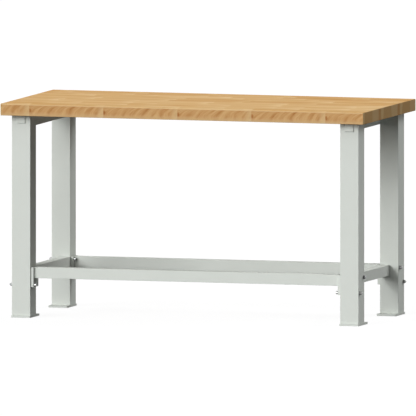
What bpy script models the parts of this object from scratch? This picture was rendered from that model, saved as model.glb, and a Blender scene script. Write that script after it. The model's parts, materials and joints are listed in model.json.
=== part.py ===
"""A heavy-duty workbench: a solid beech worktop on two welded steel end frames, tied by two stretchers.

Units are metres, +Z is up. The origin is on the floor, under the middle of the worktop.
+X runs along the worktop to the right, and the worker stands on the -Y side.
"""

import math

import bmesh
import bpy

# Worktop
TOP_LENGTH = 1.500
TOP_DEPTH = 0.700
TOP_THICKNESS = 0.047
TOP_EDGE_RADIUS = 0.002
BENCH_HEIGHT = 0.850

# Fit between touching pieces, and round a screw in its hole
FIT_GAP = 0.0003
HOLE_CLEARANCE = 0.0005

# Legs, square tube
LEG_WIDTH = 0.076
LEG_DEPTH = 0.078
LEG_WALL = 0.003
LEG_CORNER_RADIUS = 0.002
LEG_END_INSET = 0.0335
LEG_EDGE_INSET = 0.045

# Foot plates, longer towards the inside of the bench, where the floor anchor goes
FOOT_WIDTH = 0.080
FOOT_THICKNESS = 0.008
FOOT_TOE = 0.007
FOOT_HEEL = 0.041
FOOT_CORNER_RADIUS = 0.003
ANCHOR_HOLE_DIAMETER = 0.012

# Lower frame: the cross tubes and stretchers have their tops in one plane
LOWER_FRAME_TOP = 0.200
CROSS_TUBE_WIDTH = 0.040
CROSS_TUBE_HEIGHT = 0.042
CROSS_TUBE_WALL = 0.0025
CROSS_TUBE_RADIUS = 0.002
STRETCHER_HEIGHT = 0.0435
STRETCHER_DEPTH = 0.040
STRETCHER_WALL = 0.002
STRETCHER_RADIUS = 0.002
STRETCHER_SETBACK = 0.011

# Folded channel brackets that carry the stretchers on the legs
BRACKET_EDGE_INSET = 0.0055
BRACKET_STANDOFF = 0.0125
BRACKET_DEPTH = 0.067
BRACKET_HEIGHT = 0.079
BRACKET_WALL = 0.003
BRACKET_BEND_RADIUS = 0.0035

# Bracket screws: two through each leg, the upper one beside the stretcher, the lower one under it
SCREW_SIDE_MARGIN = 0.009
SCREW_TOP_MARGIN = 0.0105
SCREW_BOTTOM_MARGIN = 0.009
SCREW_DIAMETER = 0.008
SCREW_HEAD_DIAMETER = 0.013
SCREW_HEAD_HEIGHT = 0.008
SCREW_SOCKET_WIDTH = 0.006
SCREW_SOCKET_DEPTH = 0.004
SCREW_END_CHAMFER = 0.001
SCREW_TAIL = 0.004
NUT_WIDTH = 0.013
NUT_HEIGHT = 0.0065
NUT_CHAMFER_DEGREES = 30
WASHER_DIAMETER = 0.016
WASHER_THICKNESS = 0.0016

# Upper frame: a flat strap over each pair of legs, and an angle between the legs under it
STRAP_WIDTH = 0.036
STRAP_THICKNESS = 0.004
STRAP_TAB_HEIGHT = 0.0327
STRAP_BEND_RADIUS = 0.003
ANGLE_HEIGHT = 0.041
ANGLE_FLANGE = 0.040
ANGLE_WALL = 0.003

# Worktop screws, driven up through the angle and the strap
WOOD_SCREWS_PER_SIDE = 3
WOOD_SCREW_LEG_MARGIN = 0.067
WOOD_SCREW_DIAMETER = 0.008
WOOD_SCREW_BITE = 0.030
WOOD_SCREW_POINT = 0.008
WOOD_SCREW_HEAD_WIDTH = 0.013
WOOD_SCREW_HEAD_HEIGHT = 0.0055

# Facets on round forms, and the angle above which an edge is shaded crisp
ROUND_STEPS = 3
TURN_STEPS = 16
HEXAGON_SIDES = 6
CRISP_EDGE_DEGREES = 35

# Points of a turned profile nearer to its axis than this are joined there
AXIS_WELD_DISTANCE = 0.00001

# How far a cutter runs past the face that it opens
CUT_THROUGH = 0.010

SIDES = {"left": -1, "right": 1}
EDGES = {"front": -1, "rear": 1}

# Places that follow from the driving dimensions
TOP_UNDERSIDE = BENCH_HEIGHT - TOP_THICKNESS
STRAP_TOP = TOP_UNDERSIDE - FIT_GAP
STRAP_UNDERSIDE = STRAP_TOP - STRAP_THICKNESS
LEG_TOP = STRAP_UNDERSIDE - FIT_GAP
LEG_BOTTOM = FOOT_THICKNESS + FIT_GAP
LEG_X = TOP_LENGTH / 2 - LEG_END_INSET - LEG_WIDTH / 2
LEG_Y = TOP_DEPTH / 2 - LEG_EDGE_INSET - LEG_DEPTH / 2
LEG_INNER_X = LEG_X - LEG_WIDTH / 2
LEG_OUTER_X = LEG_X + LEG_WIDTH / 2
LEG_INNER_Y = LEG_Y - LEG_DEPTH / 2
LEG_OUTER_Y = LEG_Y + LEG_DEPTH / 2
BRACKET_FACE_X = LEG_INNER_X - BRACKET_STANDOFF
BRACKET_OUTER_Y = LEG_OUTER_Y - BRACKET_EDGE_INSET
BRACKET_INNER_Y = BRACKET_OUTER_Y - BRACKET_DEPTH
BRACKET_BOTTOM = LOWER_FRAME_TOP - BRACKET_HEIGHT
STRETCHER_OUTER_Y = BRACKET_OUTER_Y - STRETCHER_SETBACK
SCREW_PLACES = {
    "upper": (BRACKET_INNER_Y + SCREW_SIDE_MARGIN, LOWER_FRAME_TOP - SCREW_TOP_MARGIN),
    "lower": (BRACKET_OUTER_Y - SCREW_SIDE_MARGIN, BRACKET_BOTTOM + SCREW_BOTTOM_MARGIN),
}
SCREW_HOLE_RADIUS = SCREW_DIAMETER / 2 + HOLE_CLEARANCE
ANGLE_TOP = STRAP_UNDERSIDE - FIT_GAP
ANGLE_OUTER_X = LEG_INNER_X + ANGLE_FLANGE
STRAP_INNER_X = LEG_X - STRAP_WIDTH / 2
WOOD_SCREW_X = (STRAP_INNER_X + ANGLE_OUTER_X) / 2
WOOD_SCREW_REACH = LEG_INNER_Y - WOOD_SCREW_LEG_MARGIN
WOOD_SCREW_SEAT = ANGLE_TOP - ANGLE_WALL - FIT_GAP
WOOD_SCREW_TIP = TOP_UNDERSIDE + WOOD_SCREW_BITE
WOOD_SCREW_HOLE_RADIUS = WOOD_SCREW_DIAMETER / 2 + HOLE_CLEARANCE

# Colours are linear: oiled beech, light grey powder coat, and zinc plate
BEECH = ("oiled_beech", (0.60, 0.38, 0.18), 0.45, 0.0)
GREY_PAINT = ("light_grey_powder_coat", (0.61, 0.64, 0.60), 0.50, 0.0)
ZINC = ("zinc_plated_steel", (0.62, 0.63, 0.62), 0.35, 1.0)


def cleared_collections():
    """Empties the scene, and returns the collection for the pieces and the one for the cutters."""
    for old in list(bpy.data.objects):
        bpy.data.objects.remove(old)
    made = []
    for name in ("heavy_duty_workbench", "cutters"):
        made.append(bpy.data.collections.new(name))
        bpy.context.scene.collection.children.link(made[-1])
    return made


PIECES, CUTTERS = cleared_collections()
BENCH = bpy.data.objects.new("bench_on_floor", None)
PIECES.objects.link(BENCH)


def finish_of(recipe):
    """The material of a recipe, made the first time that it is asked for."""
    name, colour, roughness, metallic = recipe
    if name in bpy.data.materials:
        return bpy.data.materials[name]
    finish = bpy.data.materials.new(name)
    finish.use_nodes = True
    shader = finish.node_tree.nodes["Principled BSDF"]
    shader.inputs["Base Color"].default_value = (*colour, 1.0)
    shader.inputs["Roughness"].default_value = roughness
    shader.inputs["Metallic"].default_value = metallic
    return finish


def block_mesh(name, size, radius=0.0, rounded=lambda start, end: True):
    """A box centred on its own origin. The edges that 'rounded' accepts get the radius."""
    shape = bmesh.new()
    bmesh.ops.create_cube(shape, size=1.0)
    bmesh.ops.scale(shape, vec=size, verts=shape.verts)
    if radius > 0:
        chosen = [e for e in shape.edges if rounded(e.verts[0].co, e.verts[1].co)]
        bmesh.ops.bevel(
            shape,
            geom=chosen,
            offset=radius,
            segments=ROUND_STEPS,
            profile=0.5,
            affect="EDGES",
            clamp_overlap=True,
        )
    mesh = bpy.data.meshes.new(name)
    shape.to_mesh(mesh)
    shape.free()
    return mesh


def runs_along(axis):
    """Accepts the edges that run along one axis, given as 0, 1 or 2."""
    return lambda start, end: abs((end - start)[axis]) > max(
        abs((end - start)[other]) for other in range(3) if other != axis
    )


def prism_mesh(name, radius, height, sides):
    """A cylinder, or a prism of few sides, on its own origin and up its own Z."""
    shape = bmesh.new()
    bmesh.ops.create_cone(
        shape, cap_ends=True, segments=sides, radius1=radius, radius2=radius, depth=height
    )
    bmesh.ops.translate(shape, vec=(0, 0, height / 2), verts=shape.verts)
    mesh = bpy.data.meshes.new(name)
    shape.to_mesh(mesh)
    shape.free()
    return mesh


def turned_object(name, profile, closed=False):
    """A turned shape round Z. The profile's points are (radius, height), down the outer side."""
    shape = bmesh.new()
    points = [shape.verts.new((radius, 0, height)) for radius, height in profile]
    for start, end in zip(points, points[1:] + points[:1] if closed else points[1:]):
        shape.edges.new((start, end))
    mesh = bpy.data.meshes.new(name)
    shape.to_mesh(mesh)
    shape.free()
    turned = bpy.data.objects.new(name, mesh)
    CUTTERS.objects.link(turned)
    screw = turned.modifiers.new("turn", "SCREW")
    screw.steps = TURN_STEPS
    screw.render_steps = TURN_STEPS
    screw.use_merge_vertices = True
    screw.merge_threshold = AXIS_WELD_DISTANCE
    return turned


def box_between(name, low, high, **rounding):
    """An unlinked box object whose origin is its own middle."""
    size = [b - a for a, b in zip(low, high)]
    box = bpy.data.objects.new(name, block_mesh(name, size, **rounding))
    box.location = [(a + b) / 2 for a, b in zip(low, high)]
    return box


def mirrored_spans(side, edge, x_span, y_span, z_span):
    """The low and high corners of a box given for the right rear corner, moved to any corner."""
    xs = sorted(side * x for x in x_span)
    ys = sorted(edge * y for y in y_span)
    return (xs[0], ys[0], z_span[0]), (xs[1], ys[1], z_span[1])


def piece(obj, recipe):
    """Adds an object to the bench, on the shared empty, with its finish."""
    PIECES.objects.link(obj)
    obj.parent = BENCH
    if not obj.data.materials:
        obj.data.materials.append(finish_of(recipe))
    return obj


def combine(obj, tool, operation="DIFFERENCE"):
    """Cuts, joins or trims an object by a helper, which stays out of renders."""
    if tool.name not in CUTTERS.objects:
        CUTTERS.objects.link(tool)
    tool.hide_render = True
    tool.display_type = "WIRE"
    step = obj.modifiers.new(f"{operation.lower()}_{tool.name}", "BOOLEAN")
    step.operation = operation
    step.solver = "EXACT"
    step.object = tool
    return obj


def hole(name, radius, start, length, turn=(0, 0, 0)):
    """A round cutter from a point, up its own Z, which 'turn' may point another way."""
    tool = bpy.data.objects.new(name, prism_mesh(name, radius, length, TURN_STEPS))
    tool.location = start
    tool.rotation_euler = turn
    return tool


def baked_mesh(obj, name):
    """The evaluated mesh of a helper, for pieces that repeat."""
    bpy.context.view_layer.update()
    graph = bpy.context.evaluated_depsgraph_get()
    mesh = bpy.data.meshes.new_from_object(obj.evaluated_get(graph))
    mesh.name = name
    obj.hide_render = True
    obj.display_type = "WIRE"
    return mesh


def hexagon_radius(width):
    """The corner radius of a hexagon that is this wide across its flats."""
    return width / 2 / math.cos(math.pi / HEXAGON_SIDES)


def wood_screw_places(side):
    """Where the worktop screws of one end stand, evenly spaced from the front to the rear."""
    pitch = 2 * WOOD_SCREW_REACH / (WOOD_SCREWS_PER_SIDE - 1)
    for number in range(WOOD_SCREWS_PER_SIDE):
        yield number + 1, side * WOOD_SCREW_X, number * pitch - WOOD_SCREW_REACH


def make_worktop():
    half = (TOP_LENGTH / 2, TOP_DEPTH / 2)
    top = box_between(
        "worktop",
        (-half[0], -half[1], TOP_UNDERSIDE),
        (half[0], half[1], BENCH_HEIGHT),
        radius=TOP_EDGE_RADIUS,
    )
    piece(top, BEECH)
    for end, side in SIDES.items():
        for number, x, y in wood_screw_places(side):
            start = (x, y, TOP_UNDERSIDE - CUT_THROUGH)
            depth = CUT_THROUGH + WOOD_SCREW_BITE + HOLE_CLEARANCE
            radius = WOOD_SCREW_DIAMETER / 2 + FIT_GAP
            combine(top, hole(f"pilot_hole_{end}_{number}", radius, start, depth))


def tube_piece(name, low, high, axis, wall, radius):
    """A rectangular tube along one axis, open at both ends."""
    rounding = runs_along(axis)
    tube = piece(box_between(name, low, high, radius=radius, rounded=rounding), GREY_PAINT)
    inner_low = [value + wall for value in low]
    inner_high = [value - wall for value in high]
    inner_low[axis] = low[axis] - CUT_THROUGH
    inner_high[axis] = high[axis] + CUT_THROUGH
    inner_radius = max(radius - wall, 0.0)
    bore = box_between(f"{name}_bore", inner_low, inner_high, radius=inner_radius, rounded=rounding)
    return combine(tube, bore)


def make_leg(side, edge, corner):
    low, high = mirrored_spans(
        side, edge, (LEG_INNER_X, LEG_OUTER_X), (LEG_INNER_Y, LEG_OUTER_Y), (LEG_BOTTOM, LEG_TOP)
    )
    leg = tube_piece(f"leg_{corner}", low, high, 2, LEG_WALL, LEG_CORNER_RADIUS)
    for level, (y, z) in SCREW_PLACES.items():
        start = (side * LEG_X - LEG_WIDTH / 2 - CUT_THROUGH, edge * y, z)
        length = LEG_WIDTH + 2 * CUT_THROUGH
        tool = hole(f"leg_hole_{corner}_{level}", SCREW_HOLE_RADIUS, start, length, (0, math.pi / 2, 0))
        combine(leg, tool)


def make_foot_plate(side, edge, corner):
    half_width = FOOT_WIDTH / 2
    low, high = mirrored_spans(
        side,
        edge,
        (LEG_X - half_width, LEG_X + half_width),
        (LEG_INNER_Y - FOOT_HEEL, LEG_OUTER_Y + FOOT_TOE),
        (0.0, FOOT_THICKNESS),
    )
    rounding = {"radius": FOOT_CORNER_RADIUS, "rounded": runs_along(2)}
    plate = piece(box_between(f"foot_plate_{corner}", low, high, **rounding), GREY_PAINT)
    start = (side * LEG_X, edge * (LEG_INNER_Y - FOOT_HEEL / 2), -CUT_THROUGH)
    depth = FOOT_THICKNESS + 2 * CUT_THROUGH
    combine(plate, hole(f"anchor_hole_{corner}", ANCHOR_HOLE_DIAMETER / 2, start, depth))


def make_bracket(side, edge, corner):
    """A folded channel whose back, away from the leg, takes the stretcher and the screws."""
    leg_side_x = LEG_INNER_X - FIT_GAP
    z_span = (BRACKET_BOTTOM, LOWER_FRAME_TOP)
    low, high = mirrored_spans(
        side, edge, (BRACKET_FACE_X, leg_side_x), (BRACKET_INNER_Y, BRACKET_OUTER_Y), z_span
    )

    def folded(start, end):
        """The two bends along the back, and the flanges' corners at the leg."""
        at_back = start.x * side < 0 and end.x * side < 0
        at_leg = start.x * side > 0 and end.x * side > 0
        return runs_along(2)(start, end) if at_back else at_leg and runs_along(1)(start, end)

    bracket = box_between(
        f"stretcher_bracket_{corner}", low, high, radius=BRACKET_BEND_RADIUS, rounded=folded
    )
    piece(bracket, GREY_PAINT)
    hollow_low, hollow_high = mirrored_spans(
        side,
        edge,
        (BRACKET_FACE_X + BRACKET_WALL, leg_side_x + CUT_THROUGH),
        (BRACKET_INNER_Y + BRACKET_WALL, BRACKET_OUTER_Y - BRACKET_WALL),
        (z_span[0] - CUT_THROUGH, z_span[1] + CUT_THROUGH),
    )
    inner_bend = max(BRACKET_BEND_RADIUS - BRACKET_WALL, 0.0)
    hollow = box_between(
        f"bracket_hollow_{corner}", hollow_low, hollow_high, radius=inner_bend, rounded=runs_along(2)
    )
    combine(bracket, hollow)
    for level, (y, z) in SCREW_PLACES.items():
        start = (side * BRACKET_FACE_X - CUT_THROUGH, edge * y, z)
        length = BRACKET_WALL + 2 * CUT_THROUGH
        tool = hole(
            f"bracket_hole_{corner}_{level}", SCREW_HOLE_RADIUS, start, length, (0, math.pi / 2, 0)
        )
        combine(bracket, tool)


def make_cross_tube(side, end):
    """The lower cross tube between two legs, flush with their inner faces."""
    reach = LEG_INNER_Y - FIT_GAP
    low, high = mirrored_spans(
        side,
        1,
        (LEG_INNER_X, LEG_INNER_X + CROSS_TUBE_WIDTH),
        (-reach, reach),
        (LOWER_FRAME_TOP - CROSS_TUBE_HEIGHT, LOWER_FRAME_TOP),
    )
    tube_piece(f"lower_cross_tube_{end}", low, high, 1, CROSS_TUBE_WALL, CROSS_TUBE_RADIUS)


def make_stretcher(edge, name):
    """The long tube between two brackets."""
    reach = BRACKET_FACE_X - FIT_GAP
    low, high = mirrored_spans(
        1,
        edge,
        (-reach, reach),
        (STRETCHER_OUTER_Y - STRETCHER_DEPTH, STRETCHER_OUTER_Y),
        (LOWER_FRAME_TOP - STRETCHER_HEIGHT, LOWER_FRAME_TOP),
    )
    tube_piece(f"stretcher_{name}", low, high, 0, STRETCHER_WALL, STRETCHER_RADIUS)


def cut_wood_screw_holes(obj, side, end, kind):
    """The clearance holes for the worktop screws, through an angle or a strap."""
    for number, x, y in wood_screw_places(side):
        start = (x, y, WOOD_SCREW_SEAT - CUT_THROUGH)
        depth = TOP_UNDERSIDE - WOOD_SCREW_SEAT + 2 * CUT_THROUGH
        combine(obj, hole(f"{kind}_hole_{end}_{number}", WOOD_SCREW_HOLE_RADIUS, start, depth))


def make_strap(side, end):
    """A flat bar along the leg tops, folded down over the outer faces of both legs."""
    reach = LEG_OUTER_Y + FIT_GAP
    x_span = (STRAP_INNER_X, STRAP_INNER_X + STRAP_WIDTH)
    bottom = STRAP_TOP - STRAP_TAB_HEIGHT
    outer = reach + STRAP_THICKNESS
    low, high = mirrored_spans(side, 1, x_span, (-outer, outer), (bottom, STRAP_TOP))

    def folded(start, end):
        return runs_along(0)(start, end) and start.z > 0 and end.z > 0

    strap = box_between(f"top_strap_{end}", low, high, radius=STRAP_BEND_RADIUS, rounded=folded)
    piece(strap, GREY_PAINT)
    inside_x = (x_span[0] - CUT_THROUGH, x_span[1] + CUT_THROUGH)
    inside_z = (bottom - CUT_THROUGH, STRAP_UNDERSIDE)
    inside = box_between(
        f"strap_inside_{end}", *mirrored_spans(side, 1, inside_x, (-reach, reach), inside_z)
    )
    combine(strap, inside)
    cut_wood_screw_holes(strap, side, end, "strap")


def make_angle(side, end):
    """The upper cross angle: its web hangs flush with the legs' inner faces, its flange points out."""
    reach = LEG_INNER_Y - FIT_GAP
    bottom = ANGLE_TOP - ANGLE_HEIGHT
    x_span = (LEG_INNER_X, ANGLE_OUTER_X)
    low, high = mirrored_spans(side, 1, x_span, (-reach, reach), (bottom, ANGLE_TOP))
    angle = piece(box_between(f"upper_cross_angle_{end}", low, high), GREY_PAINT)
    notch_x = (LEG_INNER_X + ANGLE_WALL, ANGLE_OUTER_X + CUT_THROUGH)
    notch_y = (-reach - CUT_THROUGH, reach + CUT_THROUGH)
    notch_z = (bottom - CUT_THROUGH, ANGLE_TOP - ANGLE_WALL)
    notch = box_between(f"angle_notch_{end}", *mirrored_spans(side, 1, notch_x, notch_y, notch_z))
    combine(angle, notch)
    cut_wood_screw_holes(angle, side, end, "angle")


def bracket_screw_mesh():
    """A socket-head screw with its seat at the origin, head up. It ends past the nut."""
    grip = LEG_OUTER_X - BRACKET_FACE_X
    length = grip + 2 * FIT_GAP + WASHER_THICKNESS + FIT_GAP + NUT_HEIGHT + SCREW_TAIL
    radius = SCREW_DIAMETER / 2
    head = SCREW_HEAD_DIAMETER / 2
    screw = turned_object(
        "bracket_screw_shape",
        [
            (0, SCREW_HEAD_HEIGHT),
            (head - SCREW_END_CHAMFER, SCREW_HEAD_HEIGHT),
            (head, SCREW_HEAD_HEIGHT - SCREW_END_CHAMFER),
            (head, 0),
            (radius, 0),
            (radius, SCREW_END_CHAMFER - length),
            (radius - SCREW_END_CHAMFER, -length),
            (0, -length),
        ],
    )
    socket_depth = SCREW_SOCKET_DEPTH + CUT_THROUGH
    socket_radius = hexagon_radius(SCREW_SOCKET_WIDTH)
    socket_mesh = prism_mesh("bracket_screw_socket", socket_radius, socket_depth, HEXAGON_SIDES)
    socket = bpy.data.objects.new("bracket_screw_socket", socket_mesh)
    socket.location.z = SCREW_HEAD_HEIGHT - SCREW_SOCKET_DEPTH
    return baked_mesh(combine(screw, socket), "bracket_screw")


def nut_mesh():
    """A hexagon nut on its own origin, with both rims turned down."""
    corner = hexagon_radius(NUT_WIDTH)
    chamfer = (corner - NUT_WIDTH / 2) * math.tan(math.radians(NUT_CHAMFER_DEGREES))
    nut_block = prism_mesh("nut_shape", corner, NUT_HEIGHT, HEXAGON_SIDES)
    nut = bpy.data.objects.new("nut_shape", nut_block)
    CUTTERS.objects.link(nut)
    rims = turned_object(
        "nut_rims",
        [
            (0, NUT_HEIGHT),
            (NUT_WIDTH / 2, NUT_HEIGHT),
            (corner, NUT_HEIGHT - chamfer),
            (corner, chamfer),
            (NUT_WIDTH / 2, 0),
            (0, 0),
        ],
    )
    combine(nut, rims, "INTERSECT")
    bore_radius = SCREW_DIAMETER / 2 + FIT_GAP
    bore = hole("nut_bore", bore_radius, (0, 0, -CUT_THROUGH), NUT_HEIGHT + 2 * CUT_THROUGH)
    return baked_mesh(combine(nut, bore), "bracket_nut")


def washer_mesh():
    outer = WASHER_DIAMETER / 2
    ring = [
        (outer, WASHER_THICKNESS),
        (outer, 0),
        (SCREW_HOLE_RADIUS, 0),
        (SCREW_HOLE_RADIUS, WASHER_THICKNESS),
    ]
    return baked_mesh(turned_object("washer_shape", ring, closed=True), "bracket_washer")


def make_bracket_fasteners():
    """Two screws at each leg, with the head inside on the bracket and the nut outside on the leg."""
    screw, nut, washer = bracket_screw_mesh(), nut_mesh(), washer_mesh()
    head_seat = BRACKET_FACE_X - FIT_GAP
    washer_seat = LEG_OUTER_X + FIT_GAP
    nut_seat = washer_seat + WASHER_THICKNESS + FIT_GAP
    for end, side in SIDES.items():
        for name, edge in EDGES.items():
            for level, (y, z) in SCREW_PLACES.items():
                for kind, mesh, x, outwards in (
                    ("screw", screw, head_seat, -side),
                    ("washer", washer, washer_seat, side),
                    ("nut", nut, nut_seat, side),
                ):
                    part = bpy.data.objects.new(f"bracket_{kind}_{name}_{end}_{level}", mesh)
                    part.location = (side * x, edge * y, z)
                    part.rotation_euler = (0, outwards * math.pi / 2, 0)
                    piece(part, ZINC)


def wood_screw_mesh():
    """A hexagon-head wood screw with its seat at the origin and its point up."""
    radius = WOOD_SCREW_DIAMETER / 2
    length = WOOD_SCREW_TIP - WOOD_SCREW_SEAT
    point_start = length - WOOD_SCREW_POINT
    sunk = WOOD_SCREW_HEAD_HEIGHT / 2
    screw = turned_object(
        "wood_screw_shape", [(0, length), (radius, point_start), (radius, -sunk), (0, -sunk)]
    )
    head_radius = hexagon_radius(WOOD_SCREW_HEAD_WIDTH)
    head_mesh = prism_mesh("wood_screw_head", head_radius, WOOD_SCREW_HEAD_HEIGHT, HEXAGON_SIDES)
    head = bpy.data.objects.new("wood_screw_head", head_mesh)
    head.location.z = -WOOD_SCREW_HEAD_HEIGHT
    return baked_mesh(combine(screw, head, "UNION"), "wood_screw")


def make_wood_screws():
    mesh = wood_screw_mesh()
    for end, side in SIDES.items():
        for number, x, y in wood_screw_places(side):
            screw = bpy.data.objects.new(f"worktop_screw_{end}_{number}", mesh)
            screw.location = (x, y, WOOD_SCREW_SEAT)
            piece(screw, ZINC)


def shade_round_pieces():
    """Smooth shading on every piece, kept crisp at its real edges."""
    for mesh in {obj.data for obj in PIECES.objects if obj.type == "MESH"}:
        mesh.shade_smooth()
        mesh.set_sharp_from_angle(angle=math.radians(CRISP_EDGE_DEGREES))


def make_bench():
    make_worktop()
    for end, side in SIDES.items():
        for name, edge in EDGES.items():
            make_leg(side, edge, f"{name}_{end}")
            make_foot_plate(side, edge, f"{name}_{end}")
            make_bracket(side, edge, f"{name}_{end}")
        make_cross_tube(side, end)
        make_angle(side, end)
        make_strap(side, end)
    for name, edge in EDGES.items():
        make_stretcher(edge, name)
    make_bracket_fasteners()
    make_wood_screws()
    shade_round_pieces()
    for helper in CUTTERS.objects:
        helper.hide_render = True
        helper.display_type = "WIRE"


make_bench()
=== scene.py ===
# %% [markdown]
# # A heavy-duty workbench
# This lesson dresses a packed workbench: a beech worktop on a grey steel frame. The frame file gives
# every piece its place and size. Each step below looks at one piece or finish of the real bench, says
# how it could be made in Blender, and then makes it. All sizes are in metres, with +Z up.

# %% Load the frame
import json
import math

import bmesh
import bpy
from mathutils import Matrix, Vector


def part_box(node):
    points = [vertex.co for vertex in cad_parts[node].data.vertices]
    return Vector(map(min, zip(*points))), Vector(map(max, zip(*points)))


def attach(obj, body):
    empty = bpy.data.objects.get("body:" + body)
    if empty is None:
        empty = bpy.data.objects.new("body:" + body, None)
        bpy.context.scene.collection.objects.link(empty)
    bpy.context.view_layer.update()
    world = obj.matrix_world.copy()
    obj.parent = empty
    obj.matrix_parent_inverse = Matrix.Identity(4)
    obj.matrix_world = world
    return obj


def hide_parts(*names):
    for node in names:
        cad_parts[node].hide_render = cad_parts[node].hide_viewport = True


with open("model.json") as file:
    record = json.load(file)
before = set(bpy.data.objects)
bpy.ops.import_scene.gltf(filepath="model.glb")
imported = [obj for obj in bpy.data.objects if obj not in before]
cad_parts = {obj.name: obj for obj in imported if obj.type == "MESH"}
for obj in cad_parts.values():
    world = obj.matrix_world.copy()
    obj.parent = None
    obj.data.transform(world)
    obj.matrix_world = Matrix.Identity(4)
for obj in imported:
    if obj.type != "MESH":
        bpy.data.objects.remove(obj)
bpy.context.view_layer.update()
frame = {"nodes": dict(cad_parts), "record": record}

# %% [markdown]
# ## The camera
# The reference picture has no perspective: edges that are parallel on the bench stay parallel in it. So
# the camera is orthographic. It stands to the right of the bench's front and a little above it, and its
# scale is the width of floor that the picture spans.

# %% Set the camera
VIEW_TURN = math.radians(17.2)
VIEW_TILT = math.radians(4.77)
VIEW_WIDTH = 1.6428
VIEW_DISTANCE = 6.0
AIM = Vector((0, 0, 0.4268))


def direction(turn, tilt):
    """The unit vector to a point at this turn to the right of the front and this tilt above the floor."""
    return Vector((math.sin(turn) * math.cos(tilt), -math.cos(turn) * math.cos(tilt), math.sin(tilt)))


scene = bpy.context.scene
camera = bpy.data.objects.new("camera", bpy.data.cameras.new("camera"))
camera.data.type = "ORTHO"
camera.data.ortho_scale = VIEW_WIDTH
towards_camera = direction(VIEW_TURN, VIEW_TILT)
camera.location = AIM + VIEW_DISTANCE * towards_camera
camera.rotation_euler = (-towards_camera).to_track_quat("-Z", "Y").to_euler()
scene.collection.objects.link(camera)
scene.camera = camera
scene.view_settings.view_transform = "Standard"
print("camera at", [round(v, 2) for v in camera.location])

# %% [markdown]
# ## The light
# A studio lights such a bench with large soft boxes. Lamps of the sun kind with a wide angle act as
# boxes that are far away: they give every leg the same light, and their wide angle makes soft shadows.
# Each lamp has a turn to the right of the front, a tilt above the floor, an angle and a strength. The key
# light comes from the front left, low enough to reach under the worktop. Lamps at the rear right keep the
# end frames from going black, and the rest fill in from the front and from above.

# %% Hang the lamps
LAMPS = {
    "left": (-50, 30, 30, 0.180),
    "key": (-30, 18, 32, 0.515),
    "key_high": (-30, 36, 30, 0.100),
    "front": (-10, 15, 32, 0.250),
    "front_right": (10, 20, 30, 0.055),
    "right_low": (100, 15, 30, 0.110),
    "right_high": (125, 42, 30, 0.428),
    "overhead": (0, 70, 40, 0.160),
    "overhead_rear": (180, 75, 40, 0.105),
}

for lamp_name, (turn, tilt, spread, strength) in LAMPS.items():
    lamp = bpy.data.lights.new(lamp_name, "SUN")
    lamp.angle = math.radians(spread)
    lamp.energy = strength * math.pi
    hung = bpy.data.objects.new(lamp_name, lamp)
    towards_lamp = direction(math.radians(turn), math.radians(tilt))
    hung.rotation_euler = towards_lamp.to_track_quat("Z", "Y").to_euler()
    scene.collection.objects.link(hung)
print("lamps:", ", ".join(LAMPS))

# %% [markdown]
# ## Shader maths as expressions
# A finish is a chain of shader nodes, and a chain is easier to read as a formula. The first class wraps
# one socket, so that `1 - mask` or `tone * 0.5` adds the Math nodes. The second holds a node tree and has
# one method that makes any other node: its settings come first, then its sockets' values or links. The
# third is a material, which also knows where each of its points lies.


# %% A socket that can be calculated with
class Value:
    """One output socket of a node tree."""

    def __init__(self, nodes, socket):
        self.nodes = nodes
        self.socket = socket

    def math(self, operation, *terms):
        return self.nodes.node("ShaderNodeMath", {"operation": operation}, dict(enumerate(terms)))

    def __add__(self, other):
        return self.math("ADD", self, other)

    def __radd__(self, other):
        return self.math("ADD", other, self)

    def __sub__(self, other):
        return self.math("SUBTRACT", self, other)

    def __rsub__(self, other):
        return self.math("SUBTRACT", other, self)

    def __mul__(self, other):
        return self.math("MULTIPLY", self, other)

    def __rmul__(self, other):
        return self.math("MULTIPLY", other, self)

    def __truediv__(self, other):
        return self.math("DIVIDE", self, other)

    def __pow__(self, other):
        return self.math("POWER", self, other)

    def floor(self):
        return self.math("FLOOR", self)

    def size(self):
        return self.math("ABSOLUTE", self)

    def sine(self):
        return self.math("SINE", self)

    def least(self, other):
        return self.math("MINIMUM", self, other)

    def most(self, other):
        return self.math("MAXIMUM", self, other)

    def ease(self, start, end):
        """0 at start and 1 at end, with a soft step between them."""
        settings = {"interpolation_type": "SMOOTHSTEP"}
        sockets = {"Value": self, "From Min": start, "From Max": end}
        return self.nodes.node("ShaderNodeMapRange", settings, sockets)

    def ramp(self, stops):
        """A colour from this value. Each stop is a position and a colour."""
        return self.nodes.node("ShaderNodeValToRGB", {"stops": stops}, {"Fac": self})

    def mix(self, low, high):
        """The colour low where this value is 0, and the colour high where it is 1."""
        return self.nodes.node("ShaderNodeMix", {"data_type": "RGBA"}, {0: self, 6: low, 7: high}, out=2)


print("a socket can be added, multiplied, eased and mixed")


# %% A node tree that makes its own nodes
class Nodes:
    """The node tree of a material or a backdrop, with its shader and the shader's constants."""

    def __init__(self, tree, shader, **constants):
        self.tree = tree
        self.shader = tree.nodes[shader]
        for socket, constant in constants.items():
            self.shader.inputs[socket.replace("_", " ")].default_value = constant

    def node(self, kind, settings=None, sockets=None, out=0):
        made = self.tree.nodes.new(kind)
        for name, setting in (settings or {}).items():
            if name == "stops":
                self.set_stops(made.color_ramp, setting)
            else:
                setattr(made, name, setting)
        for name, given in (sockets or {}).items():
            if isinstance(given, Value):
                self.tree.links.new(given.socket, made.inputs[name])
            else:
                made.inputs[name].default_value = given
        return Value(self, made.outputs[out])

    def set_stops(self, ramp, stops):
        while len(ramp.elements) < len(stops):
            ramp.elements.new(1.0)
        for element, (position, colour) in zip(ramp.elements, stops):
            element.position = position
            element.color = (*colour, 1.0)

    def feed(self, socket, value):
        self.tree.links.new(value.socket, self.shader.inputs[socket])


print("any node comes from one method")


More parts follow.
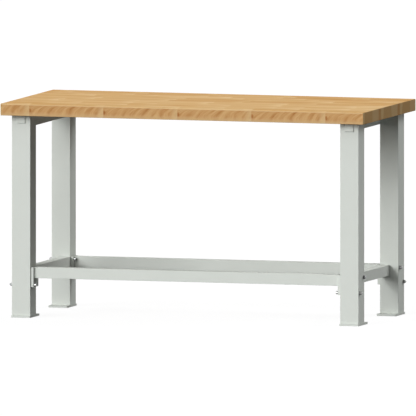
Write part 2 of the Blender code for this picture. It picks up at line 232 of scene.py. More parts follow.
# %% A material that knows where its points lie
class Finish(Nodes):
    """A material with a Principled shader, and the place of each point in the bench's own metres."""

    def __init__(self, name, **constants):
        self.material = bpy.data.materials.new(name)
        self.material.use_nodes = True
        super().__init__(self.material.node_tree, "Principled BSDF", **constants)
        self.place = self.node("ShaderNodeTexCoord", out="Object")
        self.x, self.y, self.z = self.parts(self.place)

    def parts(self, vector):
        """The X, Y and Z values of a vector."""
        made = self.node("ShaderNodeSeparateXYZ", sockets={0: vector})
        return [Value(self, out) for out in made.socket.node.outputs]

    def vector(self, x, y, z):
        return self.node("ShaderNodeCombineXYZ", sockets={0: x, 1: y, 2: z})

    def noise(self, place, scale=1.0, detail=1.0):
        """Soft random clouds, about -0.5 to 0.5."""
        sockets = {"Vector": place, "Scale": scale, "Detail": detail}
        return self.node("ShaderNodeTexNoise", sockets=sockets) - 0.5

    def chance(self, x, y):
        """A random number from 0 to 1 for each pair of whole numbers."""
        settings = {"noise_dimensions": "2D"}
        return self.node("ShaderNodeTexWhiteNoise", settings, {"Vector": self.vector(x, y, 0.0)})

    def bump(self, height, distance, strength):
        sockets = {"Height": height, "Distance": distance, "Strength": strength}
        self.feed("Normal", self.node("ShaderNodeBump", sockets=sockets))


print("shader helpers ready")

# %% [markdown]
# ## The floor
# The bench stands on a plain pale floor that fades into a white backdrop. A white floor under this light
# would throw a lot of it back up under the worktop. So its own grey is dark, and a glow that only the
# camera and mirror-like surfaces see lifts it to white. The bench's soft shadow stays on it.

# %% Lay the floor
FLOOR_REACH = 40.0
FLOOR_DROP = 0.0005
FLOOR_GREY = 0.12
FLOOR_GLOW = 0.915
WHITE = (1.0, 1.0, 1.0, 1.0)
SEEN_RAYS = ("Is Camera Ray", "Is Glossy Ray", "Is Transmission Ray")


def seen_rays(nodes):
    """1 for rays from the camera and for rays that a mirror or glass sends on, and 0 for the rest."""
    camera_ray, glossy_ray, glass_ray = [nodes.node("ShaderNodeLightPath", out=ray) for ray in SEEN_RAYS]
    return camera_ray.most(glossy_ray).most(glass_ray)


floor_shape = bmesh.new()
bmesh.ops.create_grid(floor_shape, x_segments=1, y_segments=1, size=FLOOR_REACH)
bmesh.ops.translate(floor_shape, vec=(0, 0, -FLOOR_DROP), verts=floor_shape.verts)
floor_mesh = bpy.data.meshes.new("floor")
floor_shape.to_mesh(floor_mesh)
floor_shape.free()
floor_finish = Finish(
    "pale_floor",
    Base_Color=(FLOOR_GREY, FLOOR_GREY, FLOOR_GREY, 1.0),
    Roughness=1.0,
    Specular_IOR_Level=0.0,
    Emission_Color=WHITE,
)
floor_finish.feed("Emission Strength", seen_rays(floor_finish) * FLOOR_GLOW)
floor_mesh.materials.append(floor_finish.material)
floor = bpy.data.objects.new("floor", floor_mesh)
scene.collection.objects.link(floor)
print("floor", 2 * FLOOR_REACH, "m wide")

# %% Paint the backdrop
DOME_FILL = 0.012

backdrop = bpy.data.worlds.new("white_backdrop")
backdrop.use_nodes = True
sky = Nodes(backdrop.node_tree, "Background", Color=WHITE)
sky.feed("Strength", DOME_FILL + seen_rays(sky) * (1 - DOME_FILL))
scene.world = backdrop
print("backdrop is white, and lights the bench by", DOME_FILL)

# %% [markdown]
# ## Grey powder coat
# The steel is sprayed with dry paint and baked, which leaves an even, satin, slightly pebbled skin. A
# flat colour would look like plastic. Three things break it up here: clouds of slightly different grey
# where the coat is thicker, a very fine speckle, and a pebbled bump at the scale of orange peel.

# %% Mix the powder coat
COAT_LIGHT = (0.655, 0.685, 0.645, 1.0)
COAT_DARK = (0.610, 0.640, 0.600, 1.0)
COAT_GLOSS = 0.06
COAT_ROUGHNESS = 0.58
CLOUD_SCALE = 7.0
CLOUD_DETAIL = 3.0
SPECKLE_SCALE = 900.0
PEEL_SCALE = 420.0
PEEL_HEIGHT = 0.0002
PEEL_STRENGTH = 0.35


def powder_coat():
    coat = Finish("light_grey_powder_coat", Specular_IOR_Level=COAT_GLOSS)
    clouds = coat.noise(coat.place, CLOUD_SCALE, CLOUD_DETAIL)
    speckle = coat.noise(coat.place, SPECKLE_SCALE)
    peel = coat.noise(coat.place, PEEL_SCALE, 2.0)
    coat.feed("Base Color", (0.5 + clouds * 1.1 + speckle * 0.5).mix(COAT_DARK, COAT_LIGHT))
    coat.feed("Roughness", COAT_ROUGHNESS + speckle * 0.12 + clouds * 0.10)
    coat.bump(peel, PEEL_HEIGHT, PEEL_STRENGTH)
    return coat.material


coat_material = powder_coat()
print("mixed", coat_material.name)

# %% [markdown]
# ## Zinc plate
# Screws, washers and nuts are zinc plated: a pale, bluish metal that is bright but never a mirror. Fine
# turning marks spread its reflections, and small changes of roughness make it look handled. The nuts and
# washers at the right end get a second, darker mix of the same zinc. That mix is painted shade for the
# side that faces away from the key light. A mix is a cool colour, a warm colour and a roughness.

# %% Mix the zinc
ZINC_MIXES = {
    "bright_zinc": ((0.28, 0.30, 0.32, 1.0), (0.37, 0.36, 0.33, 1.0), 0.28),
    # The second mix is a darker copy of the same zinc: painted shade for the right end's nuts and washers.
    "shade_painted_zinc": ((0.14, 0.15, 0.16, 1.0), (0.21, 0.205, 0.19, 1.0), 0.36),
}
PATCH_SCALE = 140.0
MARKS_ALONG = 4000.0
MARKS_ACROSS = 300.0
MARK_HEIGHT = 0.0001
MARK_STRENGTH = 0.25


def zinc_plate(name):
    cool, warm, roughness = ZINC_MIXES[name]
    zinc = Finish(name, Metallic=1.0)
    patches = zinc.noise(zinc.place, PATCH_SCALE, 2.0)
    turning = zinc.vector(zinc.x * MARKS_ALONG, zinc.y * MARKS_ACROSS, zinc.z * MARKS_ACROSS)
    marks = zinc.noise(turning, detail=2.0)
    zinc.feed("Base Color", (0.5 + patches * 1.4).mix(cool, warm))
    zinc.feed("Roughness", roughness + patches * 0.16 + marks * 0.10)
    zinc.bump(marks, MARK_HEIGHT, MARK_STRENGTH)
    return zinc.material


zinc_materials = {name: zinc_plate(name) for name in ZINC_MIXES}
print("mixed", ", ".join(zinc_materials))

# %% [markdown]
# ## Laminated beech
# The worktop is glued up from staves about as wide as they are thick, and each stave is a row of blocks
# set end to end. Every block comes from another board, so it has its own tone. What the grain looks like
# depends on the cut: long streaks on the top, curved flames on the front edge, and rings on the ends. So
# the finish first works out which block a point lies in, makes the three looks, and then lets the
# direction that the surface faces choose between them.

# %% Find the block that a point lies in
top_low, top_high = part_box("worktop")
TOP_THICKNESS = top_high.z - top_low.z
STAVE_COUNT = 15
STAVE_WIDTH = (top_high.y - top_low.y) / STAVE_COUNT
BLOCK_LENGTH = 0.306
FRONT_JOINT_X = -0.019
INSIDE = 0.9995
STAVE_SEED = 3.0
TINT_SEED = 31.0


class Block:
    """Where a point lies in its stave and block, and random numbers that the whole block shares."""

    def __init__(self, wood):
        depth = (wood.y * INSIDE - top_low.y) / STAVE_WIDTH
        self.stave = depth.floor()
        self.across = depth - self.stave
        self.stave_luck = wood.chance(self.stave, STAVE_SEED)
        moved = self.stave_luck * self.stave.least(1.0)
        length = (wood.x - FRONT_JOINT_X) / BLOCK_LENGTH + moved
        self.block = length.floor()
        self.along = (length - self.block) * BLOCK_LENGTH
        self.luck = wood.chance(self.stave, self.block)
        self.tint_luck = wood.chance(self.stave + TINT_SEED, self.block)
        self.height = (wood.z - top_low.z) / TOP_THICKNESS

    def inside(self, share):
        """0 on the glue lines between staves, and 1 where this share of the stave's width is passed."""
        return self.across.ease(0.0, share) * (1 - self.across.ease(1 - share, 1.0))


print("staves:", STAVE_COUNT, "of", round(STAVE_WIDTH * 1000, 1), "mm")

# %% [markdown]
# ### The top
# Seen from above the grain runs along the staves. Four layers of noise, each stretched along X, make it:
# broad waves, bands, fine lines and small flecks. A layer's pace is how fast it changes along the stave
# and across it. A block's end is a little paler, and its own random number shifts its grain.

# %% Long streaks for the top
TOP_STOPS = [
    (0.0, (0.500, 0.245, 0.062)),
    (0.35, (0.580, 0.335, 0.118)),
    (0.65, (0.636, 0.407, 0.176)),
    (1.0, (0.705, 0.495, 0.245)),
]
SWAY_PACE = (2.4, 3.0)
SWAY_REACH = 0.06
WAVE_PACE = (1.8, 22.0)
BAND_PACE = (3.5, 40.0)
LINE_PACE = (5.0, 330.0)
FLECK_PACE = (160.0, 1500.0)
FLECK_RANGE = (0.14, 0.26)
TOP_PALE_END = 0.068
TOP_GLUE_SHARE = 0.02
TOP_TONE = 0.49


def grain(wood, pace, along, across, seed, detail=1.0):
    """Noise with this pace in two directions. Another seed gives another piece of the noise."""
    return wood.noise(wood.vector(along * pace[0], across * pace[1], seed), detail=detail)


def streaked_top(wood, block):
    depth = wood.y + grain(wood, SWAY_PACE, wood.x, wood.y, 0.0) * SWAY_REACH
    waves = grain(wood, WAVE_PACE, wood.x, depth, 2.0, 2.0)
    bands = grain(wood, BAND_PACE, wood.x, depth, block.luck * 23.0, 2.0)
    lines = grain(wood, LINE_PACE, wood.x, depth, block.luck * 40.0, 3.0)
    flecks = grain(wood, FLECK_PACE, wood.x, wood.y, 0.0).ease(*FLECK_RANGE)
    pale = block.along.ease(BLOCK_LENGTH - TOP_PALE_END, BLOCK_LENGTH)
    glue = 1 - block.inside(TOP_GLUE_SHARE)
    tone = TOP_TONE + (block.luck - 0.5) * 0.34 + (block.stave_luck - 0.5) * 0.30
    tone = tone + waves * 0.40 + bands * 0.95 + lines * 0.35
    tone = tone + pale * 0.28 - flecks * 0.10 - glue * 0.10
    return tone, tone.ramp(TOP_STOPS)


print("top:", len(TOP_STOPS), "tones")

# %% [markdown]
# ### The front and rear edges
# The edge is cut across the growth rings, which show as flames: strokes that stand upright at the bottom
# and lean over at the top. They lean less towards the block's end. Each block starts with a small knot,
# has a darker heart, and is paler at its end and along its lower rim. The band along the top arris is
# painted palest: a painted highlight where the rounded edge would catch the light.

# %% Curved flames for the edges
EDGE_STOPS = [
    (0.0, (0.350, 0.142, 0.046)),
    (0.30, (0.470, 0.242, 0.090)),
    (0.55, (0.565, 0.344, 0.149)),
    (1.0, (0.680, 0.500, 0.265)),
]
PALE_WOOD = (0.600, 0.425, 0.225, 1.0)
# The colour of the painted highlight along the top arris.
PAINTED_ARRIS_HIGHLIGHT = (0.665, 0.465, 0.238, 1.0)
EDGE_TONE = 0.45
SWIRL_PACE = (18.0, 55.0)
SWIRL_REACH = 0.016
FLAME_PACE = (75.0, 20.0)
FLAME_PITCH = 0.0385
FLAME_LEAN = 0.062
FLAME_FADE = 0.55
HAIR_PACE = (210.0, 40.0)
BREAK_PACE = (30.0, 75.0)
BREAK_DEPTH = 1.8
DARK_HEART_X = 0.160
DARK_HEART_HALF_WIDTH = 0.022
KNOT_X = 0.004
KNOT_HEIGHT = 0.47
KNOT_HALF_WIDTH = 0.0045
KNOT_HALF_HEIGHT = 0.16
KNOT_FADE = 2.2
EDGE_PALE_END = 0.034
STROKE_RANGE = (0.0, 0.30)
RIM_RANGE = (-0.02, 0.45)
PAINTED_HIGHLIGHT_HEIGHTS = (0.895, 0.935)


def upright_grain(wood, pace, along, seed):
    """Noise with this pace along the edge and up it."""
    return wood.noise(wood.vector(along * pace[0], seed, wood.z * pace[1]))


def flame_strokes(wood, block, rings):
    """The light and dark strokes, which fade out towards the bottom."""
    wave = ((rings - KNOT_X) * (2 * math.pi / FLAME_PITCH) + math.pi / 2).sine()
    flames = upright_grain(wood, FLAME_PACE, rings, block.luck * 0.8)
    hair = grain(wood, HAIR_PACE, rings, wood.z, block.luck * 5.0, 2.0)
    breaks = 1 + upright_grain(wood, BREAK_PACE, wood.x, block.luck * 9.0) * BREAK_DEPTH
    return (flames * 0.62 - wave * 0.08 + hair * 0.25) * breaks * block.height.ease(*STROKE_RANGE)


def flamed_edge(wood, block):
    swirl = upright_grain(wood, SWIRL_PACE, wood.x, block.luck * 7.0) * SWIRL_REACH
    straighter = 1 - block.along * (FLAME_FADE / BLOCK_LENGTH)
    rings = block.along - block.height ** 3.0 * straighter * FLAME_LEAN + swirl
    heart = 1 - ((rings - DARK_HEART_X) / DARK_HEART_HALF_WIDTH).size().ease(0.0, 1.0)
    knot_x = (block.along - KNOT_X) / KNOT_HALF_WIDTH
    knot_z = (block.height - KNOT_HEIGHT) / KNOT_HALF_HEIGHT
    knot = 1 - (knot_x * knot_x + knot_z * knot_z).ease(0.0, KNOT_FADE)
    tone = EDGE_TONE + (block.tint_luck - 0.5) * 0.06 + flame_strokes(wood, block, rings)
    tone = tone - knot * 0.40 - heart * 0.12
    pale = block.along.ease(BLOCK_LENGTH - EDGE_PALE_END, BLOCK_LENGTH)
    rim = 1 - block.height.ease(*RIM_RANGE)
    grained = (pale * 0.55 + rim * 0.60).mix(tone.ramp(EDGE_STOPS), PALE_WOOD)
    # The band at the top of the edge is a painted highlight of the rounded arris.
    return tone, block.height.ease(*PAINTED_HIGHLIGHT_HEIGHTS).mix(grained, PAINTED_ARRIS_HIGHLIGHT)


print("edges: a knot every", BLOCK_LENGTH, "m")

# %% [markdown]
# ### The ends
# An end shows every stave's end grain: arcs of growth rings round a centre that lies below the stave, and
# fine pores. The boards that the staves were sawn from differ, so the end has darker and lighter stripes,
# which a ramp repeats along Y.

# %% Growth rings for the ends
BOARD_GROUP = 0.252
BOARD_START_Y = -0.080
BOARD_STOPS = [
    (0.00, (0.390, 0.247, 0.108)),
    (0.40, (0.390, 0.247, 0.108)),
    (0.43, (0.440, 0.305, 0.155)),
    (0.72, (0.440, 0.305, 0.155)),
    (0.77, (0.362, 0.204, 0.086)),
    (0.85, (0.362, 0.204, 0.086)),
    (0.90, (0.466, 0.332, 0.164)),
    (1.00, (0.466, 0.332, 0.164)),
]
LATE_WOOD = (0.250, 0.130, 0.050, 1.0)
RING_PITCH = 0.0042
CENTRE_SPREAD = 0.10
CENTRE_DROP = 0.060
WOBBLE_SCALE = 45.0
WOBBLE_REACH = 0.004
PORE_SCALE = 900.0
BEND_PACE = (20.0, 30.0)
BEND_SEED = 7.0
BEND_REACH = 0.016
END_GLUE_SHARE = 0.03


def ringed_end(wood, block):
    centre_y = (block.luck - 0.5) * CENTRE_SPREAD
    centre_z = (block.tint_luck - 1.2) * CENTRE_DROP
    aside = (block.across - 0.5) * STAVE_WIDTH - centre_y
    rise = (block.height - 0.5) * TOP_THICKNESS - centre_z
    wobble = wood.noise(wood.place, WOBBLE_SCALE, 2.0) * WOBBLE_REACH
    radius = (aside * aside + rise * rise) ** 0.5 + wobble
    rings = (radius * (2 * math.pi / RING_PITCH)).sine() * 0.5 + 0.5
    pores = wood.noise(wood.place, PORE_SCALE)
    bend = wood.noise(wood.vector(BEND_SEED, wood.y * BEND_PACE[0], wood.z * BEND_PACE[1])) * BEND_REACH
    group = (wood.y + bend - BOARD_START_Y) / BOARD_GROUP
    boards = (group - group.floor()).ramp(BOARD_STOPS)
    glue = 1 - block.inside(END_GLUE_SHARE)
    dark = 0.02 + rings * 0.12 + pores * 0.15 + glue * 0.10
    return 1 - dark, dark.mix(boards, LATE_WOOD)


print("ends: rings every", RING_PITCH, "m")

# %% [markdown]
# ### All three together
# The Geometry node gives the direction that a surface faces. A face that looks up or down has a Z part
# near 1, and an end has an X part near 1. On the rounded edges the looks blend over into each other.

# %% Mix the beech
OIL_GLOSS = 0.025
FACING_RANGE = (0.55, 0.80)
OILED_ROUGHNESS = 0.62
END_ROUGHNESS = 0.18
GRAIN_HEIGHT = 0.0003
GRAIN_STRENGTH = 0.25


def laminated_beech():
    wood = Finish("oiled_beech", Specular_IOR_Level=OIL_GLOSS)
    block = Block(wood)
    facing = wood.parts(wood.node("ShaderNodeNewGeometry", out="Normal"))
    up = facing[2].size().ease(*FACING_RANGE)
    endwise = facing[0].size().ease(*FACING_RANGE)
    top_tone, top_colour = streaked_top(wood, block)
    edge_tone, edge_colour = flamed_edge(wood, block)
    end_tone, end_colour = ringed_end(wood, block)
    wood.feed("Base Color", endwise.mix(up.mix(edge_colour, top_colour), end_colour))
    tone = edge_tone + up * (top_tone - edge_tone)
    tone = tone + endwise * (end_tone - tone)
    wood.feed("Roughness", OILED_ROUGHNESS - tone * 0.10 + endwise * END_ROUGHNESS)
    wood.bump(tone, GRAIN_HEIGHT, GRAIN_STRENGTH)
    return wood.material


beech_material = laminated_beech()
print("mixed", beech_material.name)

# %% [markdown]
# ## Dress the frame's own pieces
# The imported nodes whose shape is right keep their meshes. Each one only changes its material: the record
# says which slot a node has, and each slot has its finish.

# %% Give every node its finish
FINISHES = {"beech": beech_material, "grey_paint": coat_material, "zinc": zinc_materials["bright_zinc"]}

slot_of = {entry["node"]: entry["material_slot"] for entry in frame["record"]["subparts"]}
for node_name, node in frame["nodes"].items():
    node.material_slots[0].material = FINISHES[slot_of[node_name]]
print("dressed", len(frame["nodes"]), "nodes")

# %% [markdown]
# ## Adding a piece
# Every new piece is a bmesh that is already in place, in the bench's own metres. This function makes it an
# object, lets it ride on the bench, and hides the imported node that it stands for. Smooth shading is kept
# crisp at real edges, and weighted normals keep the flat faces beside a rounded edge flat.

# %% A function for new pieces
CRISP_ANGLE = math.radians(40)


def add_piece(name, shape, slot, stands_for=(), finish=None):
    mesh = bpy.data.meshes.new(name)
    shape.to_mesh(mesh)
    shape.free()
    mesh.materials.append(finish or FINISHES[slot])
    mesh.shade_smooth()
    mesh.set_sharp_from_angle(angle=CRISP_ANGLE)
    made = bpy.data.objects.new(name, mesh)
    scene.collection.objects.link(made)
    flat = made.modifiers.new("flat_faces", "WEIGHTED_NORMAL")
    flat.keep_sharp = True
    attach(made, "root")
    if stands_for:
        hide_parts(*stands_for)
    return made


def block_shape(low, high):
    """A box between two corners."""
    shape = bmesh.new()
    bmesh.ops.create_cube(shape, size=1.0)
    bmesh.ops.scale(shape, vec=high - low, verts=shape.verts)
    bmesh.ops.translate(shape, vec=(low + high) / 2, verts=shape.verts)
    return shape


def round_over(shape, geometry, radius, segments, affect="EDGES"):
    bmesh.ops.bevel(
        shape, geom=geometry, offset=radius, segments=segments, profile=0.5, affect=affect, material=-1
    )


print("pieces stay crisp above", round(math.degrees(CRISP_ANGLE)), "degrees")

# %% [markdown]
# ## The worktop
# The slab is planed square and its edges are eased with sandpaper. A box with all its edges beveled is
# that shape: two millimetres of radius are enough to catch a thin line of light along the front.

# %% Shape the worktop
TOP_EASE = 0.002
EASE_SEGMENTS = 6

top_shape = block_shape(top_low, top_high)
round_over(top_shape, top_shape.edges[:], TOP_EASE, EASE_SEGMENTS)
worktop = add_piece("beech_worktop", top_shape, "beech", ["worktop"])
print("worktop faces:", len(worktop.data.polygons))

# %% [markdown]
# ## Square tubes
# Legs, cross tubes and stretchers are cold-formed square tube, so their corners are round and they are
# hollow. A box loses its two end faces, its long edges are beveled, and a wall is then given to the shell.
# Each kind has the number of its long axis, its corner radius and its wall.

# %% Roll the tubes
TUBE_SEGMENTS = 6
TUBES = {
    "leg": (2, 0.001, 0.003),
    "lower_cross_tube": (1, 0.001, 0.0025),
    "stretcher": (0, 0.001, 0.002),
}
NO_LENGTH = 0.000001


def tube_shape(low, high, axis, radius, wall):
    shape = block_shape(low, high)
    ends = [face for face in shape.faces if abs(face.normal[axis]) > 0.5]
    bmesh.ops.delete(shape, geom=ends, context="FACES_ONLY")
    long_edges = [e for e in shape.edges if abs((e.verts[0].co - e.verts[1].co)[axis]) > NO_LENGTH]
    round_over(shape, long_edges, radius, TUBE_SEGMENTS)
    bmesh.ops.recalc_face_normals(shape, faces=shape.faces)
    bmesh.ops.solidify(shape, geom=shape.faces[:], thickness=wall)
    return shape


def is_tube(node_name):
    return any(node_name.startswith(kind) for kind in TUBES) and "bracket" not in node_name


tube_nodes = [name for name in frame["nodes"] if is_tube(name)]
for node_name in tube_nodes:
    kind = next(kind for kind in TUBES if node_name.startswith(kind))
    tube = tube_shape(*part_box(node_name), *TUBES[kind])
    add_piece(f"{node_name}_tube", tube, "grey_paint", [node_name])
print("tubes:", len(tube_nodes))

# %% [markdown]
# ## Folded sheet
# Brackets, cross angles and top straps are cut from sheet and folded. Each one is a box that keeps only
# the faces that the sheet covers. The edges between them become bends, and the sheet then gets its wall.
# At last its cut edges are eased, because a paint coat is never quite sharp there.

# %% A function that folds a sheet
BEND_SEGMENTS = 6
CUT_ANGLE = math.radians(60)
CUT_SEGMENTS = 3


def folded_shape(low, high, covers, bend, wall, corner, ease):
    """A folded sheet. `covers` says whether the sheet covers the box face with this outward direction."""
    shape = block_shape(low, high)
    bare = [face for face in shape.faces if not covers(face.normal)]
    bmesh.ops.delete(shape, geom=bare, context="FACES")
    free_corners = [vert for vert in shape.verts if len(vert.link_edges) == 2]
    round_over(shape, free_corners, corner, BEND_SEGMENTS, "VERTICES")
    folds = [edge for edge in shape.edges if len(edge.link_faces) == 2]
    round_over(shape, folds, bend, BEND_SEGMENTS)
    bmesh.ops.solidify(shape, geom=shape.faces[:], thickness=wall)
    cut_edges = [edge for edge in shape.edges if edge.calc_face_angle(0.0) > CUT_ANGLE]
    round_over(shape, cut_edges, ease, CUT_SEGMENTS)
    return shape


def side_of(node_name):
    """-1 for the left end of the bench, and 1 for the right end."""
    return -1 if "left" in node_name else 1


print("bends have", BEND_SEGMENTS, "steps")

# %% [markdown]
# A bracket covers the inner side and both edges of its box. A cross angle covers the inner side and the
# top, and a strap covers the top and folds down at both ends.

# %% Fold the brackets, angles and straps
BRACKET_BEND = 0.0035
BRACKET_WALL = 0.003
BRACKET_CORNER = 0.0035
BRACKET_EASE = 0.0009
ANGLE_BEND = 0.0032
ANGLE_WALL = 0.003
ANGLE_CORNER = 0.001
ANGLE_EASE = 0.0009
STRAP_BEND = 0.0042
STRAP_WALL = 0.004
STRAP_CORNER = 0.0022
STRAP_EASE = 0.0017


def bracket_covers(normal, side):
    return normal.x * side < -0.5 or abs(normal.y) > 0.5


def angle_covers(normal, side):
    return normal.x * side < -0.5 or normal.z > 0.5


def strap_covers(normal, side):
    return normal.z > 0.5 or abs(normal.y) > 0.5


SHEETS = {
    "stretcher_bracket": (bracket_covers, BRACKET_BEND, BRACKET_WALL, BRACKET_CORNER, BRACKET_EASE),
    "upper_cross_angle": (angle_covers, ANGLE_BEND, ANGLE_WALL, ANGLE_CORNER, ANGLE_EASE),
    "top_strap": (strap_covers, STRAP_BEND, STRAP_WALL, STRAP_CORNER, STRAP_EASE),
}
for node_name in list(frame["nodes"]):
    for kind, (covers, *sizes) in SHEETS.items():
        if node_name.startswith(kind):
            side = side_of(node_name)
            sheet = folded_shape(*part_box(node_name), lambda normal: covers(normal, side), *sizes)
            add_piece(f"{node_name}_sheet", sheet, "grey_paint", [node_name])
            print("folded", node_name)

# %% [markdown]
# ## Screws, nuts and washers
# These are turned parts: a profile is drawn once, as points of radius and height, and spun round an axis.
# The hexagons come afterwards. Every ring that should be six-sided has its points pulled in to the flat
# sides of a hexagon, which also leaves the curved chamfer marks that a real nut has.

# %% A function that turns a profile
TURN_STEPS = 48
MERGE_DISTANCE = 0.000001


def turned_shape(points, closed):
    """Spin a profile of (radius, height) points round the Z axis."""
    shape = bmesh.new()
    verts = [shape.verts.new((radius, 0.0, height)) for radius, height in points]
    for first, second in zip(verts, verts[1:]):
        shape.edges.new((first, second))
    if closed:
        shape.edges.new((verts[-1], verts[0]))
    profile = shape.verts[:] + shape.edges[:]
    bmesh.ops.spin(
        shape,
        geom=profile,
        cent=(0, 0, 0),
        axis=(0, 0, 1),
        angle=2 * math.pi,
        steps=TURN_STEPS,
        use_merge=True,
    )
    bmesh.ops.remove_doubles(shape, verts=shape.verts[:], dist=MERGE_DISTANCE)
    bmesh.ops.recalc_face_normals(shape, faces=shape.faces[:])
    return shape


def hexagon_reach(vert, apothem):
    """How far a hexagon reaches from the axis in the direction of this point."""
    angle = math.atan2(vert.co.y, vert.co.x)
    return apothem / math.cos((angle + math.pi / 6) % (math.pi / 3) - math.pi / 6)


def radius_of(vert):
    return math.hypot(vert.co.x, vert.co.y)


def set_radius(vert, radius):
    share = radius / radius_of(vert)
    vert.co.x *= share
    vert.co.y *= share


print("profiles turn in", TURN_STEPS, "steps")

# %% [markdown]
# A socket head screw has a knurled head with a hexagon socket, a plain shank and a threaded end. Its
# thread is drawn as rings instead of a helix, which looks the same at this size.

# %% The profile of a screw
HEAD_RADIUS = 0.0065
HEAD_HEIGHT = 0.008
HEAD_ROUND = 0.0008
HEAD_ROUND_MIDDLE = 0.0002
HEAD_FOOT = 0.0009
HEAD_FOOT_MIDDLE = 0.0003
HEAD_FOOT_INSET = 0.0004
KNURL_RIDGES = 24
KNURL_DEPTH = 0.00014
SOCKET_APOTHEM = 0.003
SOCKET_CORNER = SOCKET_APOTHEM / math.cos(math.pi / 6)
SOCKET_DEPTH = 0.004
SOCKET_CONE = 0.0008
SOCKET_LIP = 0.0003
SOCKET_LIP_DROP = 0.0002
THREAD_RADIUS = 0.004
THREAD_DEPTH = 0.0005
THREAD_PITCH = 0.00125
THREAD_TURNS = 12
TIP_CHAMFER = 0.0009
NEAR = 0.0001


def head_points():
    """The head's profile, from the middle of the socket's floor to the shank."""
    floor_height = HEAD_HEIGHT - SOCKET_DEPTH
    return [
        (0.0, floor_height - SOCKET_CONE),
        (SOCKET_CORNER, floor_height),
        (SOCKET_CORNER, HEAD_HEIGHT - SOCKET_LIP_DROP),
        (SOCKET_CORNER + SOCKET_LIP, HEAD_HEIGHT),
        (HEAD_RADIUS - HEAD_ROUND, HEAD_HEIGHT),
        (HEAD_RADIUS - HEAD_ROUND_MIDDLE, HEAD_HEIGHT - HEAD_ROUND_MIDDLE),
        (HEAD_RADIUS, HEAD_HEIGHT - HEAD_ROUND),
        (HEAD_RADIUS, HEAD_FOOT),
        (HEAD_RADIUS - HEAD_FOOT_MIDDLE, HEAD_FOOT_MIDDLE),
        (HEAD_RADIUS - HEAD_FOOT_INSET, 0.0),
        (THREAD_RADIUS, 0.0),
    ]


def thread_points(tip):
    """The thread's profile, down to the tip at this height."""
    points = []
    height = tip + THREAD_TURNS * THREAD_PITCH
    while height > tip + THREAD_PITCH:
        points += [(THREAD_RADIUS, height), (THREAD_RADIUS - THREAD_DEPTH, height - THREAD_PITCH / 2)]
        height -= THREAD_PITCH
    return points + [(THREAD_RADIUS, height), (THREAD_RADIUS - TIP_CHAMFER, tip), (0.0, tip)]


def screw_shape(length_under_head):
    """A socket head screw. Height 0 is under the head, the socket is at the top."""
    shape = turned_shape(head_points() + thread_points(-length_under_head), closed=False)
    for vert in shape.verts:
        radius = radius_of(vert)
        above_floor = vert.co.z > HEAD_HEIGHT - SOCKET_DEPTH - NEAR
        if above_floor and 0.0 < radius < SOCKET_CORNER + NEAR:
            set_radius(vert, hexagon_reach(vert, SOCKET_APOTHEM))
        elif radius > HEAD_RADIUS - NEAR:
            ridge = math.cos(KNURL_RIDGES * math.atan2(vert.co.y, vert.co.x))
            set_radius(vert, HEAD_RADIUS - KNURL_DEPTH * (0.5 - 0.5 * ridge))
    return shape


print("head:", len(head_points()), "profile points")

# %% [markdown]
# A nut starts as a ring with a chamfer in small steps, so that the hexagon cuts a curve into it. A washer
# is a flat ring whose edges are slightly rounded from stamping.

# %% The profiles of a nut and a washer
NUT_APOTHEM = 0.0065
NUT_FACE_INSET = 0.0003
CHAMFER_OUT = 0.00034
CHAMFER_DOWN = 0.00019
CHAMFER_POINTS = 5
BORE_CHAMFER = 0.0006
WASHER_PLAY = 0.0002
WASHER_BREAK = 0.0002
WASHER_ROUND = 0.0004
WASHER_ROUND_MIDDLE = 0.0001


def nut_shape(height):
    """A hexagon nut with its corners chamfered on both faces."""
    start = NUT_APOTHEM - NUT_FACE_INSET
    chamfer = [(start + step * CHAMFER_OUT, step * CHAMFER_DOWN) for step in range(CHAMFER_POINTS)]
    points = [(THREAD_RADIUS + BORE_CHAMFER, 0.0)] + chamfer
    points += [(radius, height - drop) for radius, drop in reversed(chamfer)]
    points += [(THREAD_RADIUS + BORE_CHAMFER, height), (THREAD_RADIUS, height - BORE_CHAMFER)]
    points += [(THREAD_RADIUS, BORE_CHAMFER)]
    shape = turned_shape(points, closed=True)
    for vert in shape.verts:
        set_radius(vert, min(radius_of(vert), hexagon_reach(vert, NUT_APOTHEM)))
    return shape


def washer_shape(outer, height):
    """A flat ring with slightly rounded edges."""
    hole = THREAD_RADIUS + WASHER_PLAY
    half = [(hole, WASHER_BREAK), (hole + WASHER_BREAK, 0.0), (outer - WASHER_ROUND, 0.0)]
    half += [(outer - WASHER_ROUND_MIDDLE, WASHER_ROUND_MIDDLE), (outer, WASHER_ROUND)]
    other_half = [(radius, height - rise) for radius, rise in reversed(half)]
    return turned_shape(half + other_half, closed=True)


print("nuts measure", 2000 * NUT_APOTHEM, "mm across flats")

# %% [markdown]
# Every fastener lies along X. The screws' heads are on the inside of the legs, and the washers and nuts
# on the outside.


# %% Turn the fasteners
def put_on_axis(shape, base_x, towards, middle):
    """Turn a turned part so that its height runs towards +X or -X, with its base at this X."""
    lying = Matrix.Rotation(towards * math.pi / 2, 4, "Y")
    place = Matrix.Translation((base_x, middle.y, middle.z)) @ lying
    bmesh.ops.transform(shape, matrix=place, verts=shape.verts[:])
    return shape


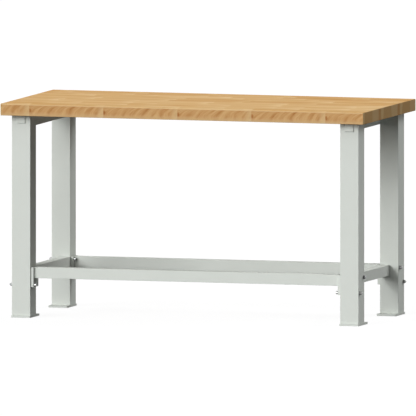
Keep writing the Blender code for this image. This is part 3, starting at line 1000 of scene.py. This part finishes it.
for node_name in list(frame["nodes"]):
    side = side_of(node_name)
    low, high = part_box(node_name)
    middle = (low + high) / 2
    inner_x = side * min(abs(low.x), abs(high.x))
    thickness = high.x - low.x
    # Nuts and washers at the right end take the darker zinc copy, which is painted shade.
    is_shade_painted = side > 0 and not node_name.startswith("bracket_screw")
    finish = zinc_materials["shade_painted_zinc" if is_shade_painted else "bright_zinc"]
    if node_name.startswith("bracket_screw"):
        under_head_x = inner_x + side * HEAD_HEIGHT
        turned = put_on_axis(screw_shape(thickness - HEAD_HEIGHT), under_head_x, -side, middle)
    elif node_name.startswith("bracket_nut"):
        turned = put_on_axis(nut_shape(thickness), inner_x, side, middle)
    elif node_name.startswith("bracket_washer"):
        turned = put_on_axis(washer_shape((high.z - low.z) / 2, thickness), inner_x, side, middle)
    else:
        continue
    add_piece(f"{node_name}_turned", turned, "zinc", [node_name], finish)
print("fasteners turned")

# %% [markdown]
# ## Weld beads
# The frame is welded, and a weld is a small rippled roll of metal in the corner between two pieces. Each
# bead starts as a flat grid. Its rows are wrapped round the line of the corner, its ends are drawn in to
# points, and a small wave along it makes the ripples that a welder's steps leave.

# %% A function that lays a bead
BEAD_RADIUS = 0.0022
BEAD_RIPPLE = 0.07
BEAD_STEP = 0.0035
BEAD_ROWS = 10
RINGS_PER_STEP = 4


def lay_bead(shape, start, end):
    run = end - start
    rings = max(RINGS_PER_STEP, round(run.length / BEAD_STEP) * RINGS_PER_STEP)
    made = bmesh.ops.create_grid(shape, x_segments=rings, y_segments=BEAD_ROWS, size=1.0)["verts"]
    across = run.orthogonal().normalized()
    over = run.normalized().cross(across)
    for vert in made:
        turn = vert.co.y * math.pi
        along = (vert.co.x + 1) / 2
        from_end = min(along, 1 - along) * run.length
        taper = math.sqrt(min(1.0, from_end / BEAD_RADIUS / 2))
        ripple = 1 + BEAD_RIPPLE * math.cos(2 * math.pi * along * run.length / BEAD_STEP)
        reach = BEAD_RADIUS * taper * ripple
        vert.co = start + run * along + (across * math.cos(turn) + over * math.sin(turn)) * reach


def add_beads(name, lines):
    shape = bmesh.new()
    for start, end in lines:
        lay_bead(shape, Vector(start), Vector(end))
    bmesh.ops.remove_doubles(shape, verts=shape.verts[:], dist=MERGE_DISTANCE)
    bmesh.ops.recalc_face_normals(shape, faces=shape.faces[:])
    add_piece(name, shape, "grey_paint")


print("beads are", 2000 * BEAD_RADIUS, "mm thick")

# %% [markdown]
# Each corner of the frame gets its beads where they show least: on the foot plate at the leg's inner
# side, under the cross tube, inside the upper angle, and behind and under the stretcher's end.

# %% Weld the four corners
BEAD_INSET = 0.006

for corner in ("front_left", "front_right", "rear_left", "rear_right"):
    edge_name, end_name = corner.split("_")
    side = side_of(corner)
    leg_low, leg_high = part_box(f"leg_{corner}")
    plate_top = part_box(f"foot_plate_{corner}")[1].z
    inner_y = leg_high.y if edge_name == "front" else leg_low.y
    x0, x1 = leg_low.x + BEAD_INSET, leg_high.x - BEAD_INSET
    add_beads(f"foot_weld_{corner}", [((x0, inner_y, plate_top), (x1, inner_y, plate_top))])

    low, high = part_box(f"lower_cross_tube_{end_name}")
    x0, x1 = low.x + BEAD_INSET, high.x - BEAD_INSET
    cross_lines = [((x0, inner_y, low.z), (x1, inner_y, low.z))]
    low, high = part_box(f"upper_cross_angle_{end_name}")
    inside_x = side * (min(abs(low.x), abs(high.x)) + ANGLE_WALL)
    under_z = high.z - ANGLE_WALL
    x0, x1 = low.x + BEAD_INSET, high.x - BEAD_INSET
    z0, z1 = low.z + BEAD_INSET, under_z - BEAD_INSET
    cross_lines.append(((inside_x, inner_y, z0), (inside_x, inner_y, z1)))
    cross_lines.append(((x0, inner_y, under_z), (x1, inner_y, under_z)))
    add_beads(f"cross_weld_{corner}", cross_lines)

    low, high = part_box(f"stretcher_{edge_name}")
    bracket_low, bracket_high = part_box(f"stretcher_bracket_{corner}")
    face_x = side * min(abs(bracket_low.x), abs(bracket_high.x))
    inner_side = high.y if edge_name == "front" else low.y
    y0, y1 = low.y + BEAD_INSET, high.y - BEAD_INSET
    z0, z1 = low.z + BEAD_INSET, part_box(f"bracket_screw_{corner}_upper")[0].z - BEAD_RADIUS
    bar_lines = [((face_x, inner_side, z0), (face_x, inner_side, z1))]
    bar_lines.append(((face_x, y0, low.z), (face_x, y1, low.z)))
    add_beads(f"stretcher_weld_{corner}", bar_lines)
    print("welded", corner)
